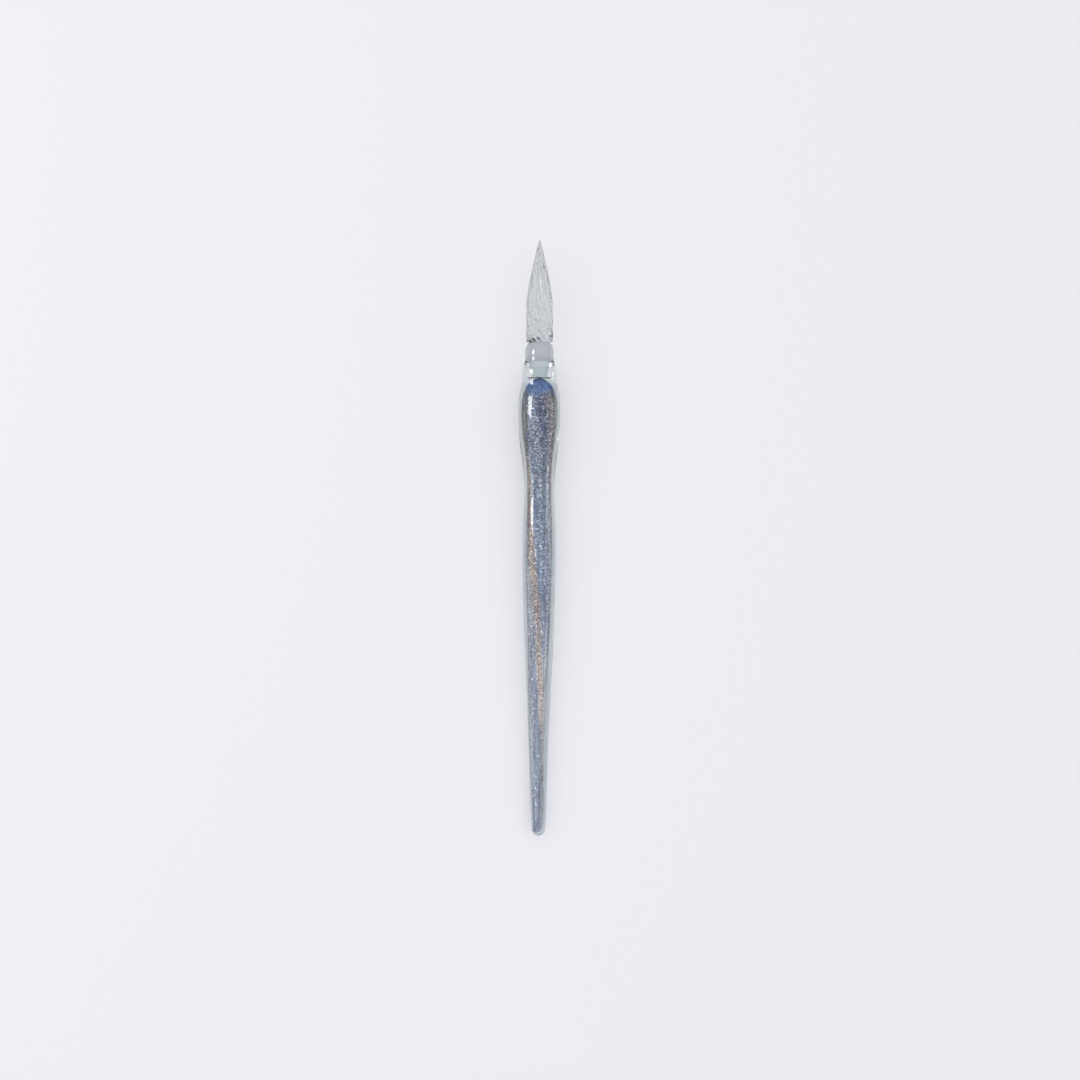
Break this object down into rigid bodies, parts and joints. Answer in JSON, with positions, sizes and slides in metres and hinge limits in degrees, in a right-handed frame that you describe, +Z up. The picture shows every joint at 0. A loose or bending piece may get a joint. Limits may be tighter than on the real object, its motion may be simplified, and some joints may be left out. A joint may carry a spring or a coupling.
{
  "type": "glass dip pen",
  "caption": "Glass dip pen lying on its side: twisted fluted nib, clear bead, and a clear waisted handle cased over a blue core with winding glitter bands.",
  "frame": {"origin": "on the table under the middle of the pen: the bottom centre of its bounding box as it lies at rest", "axes": "+Y along the pen towards the nib's tip, +Z up from the table. The pen's own axis slopes down towards the tail by 1.58 degrees, because the handle lies on two swellings of different size."},
  "size_m": [0.0118, 0.164, 0.0118],
  "materials": {
    "fluted_glass": "clear, fire polished, ridged",
    "clear_glass": "clear, fire polished",
    "blue_glass": "deep blue, smooth, seen through the casing",
    "glitter_glass": "copper and silver glitter in grey glass"
  },
  "bodies": {
    "root": {"nib": "fluted_glass", "nib_bead": "clear_glass", "handle_casing": "clear_glass", "colour_core": "blue_glass", "glitter_band_1": "glitter_glass", "glitter_band_2": "glitter_glass", "glitter_band_3": "glitter_glass", "glitter_band_4": "glitter_glass"}
  },
  "joints": []
}
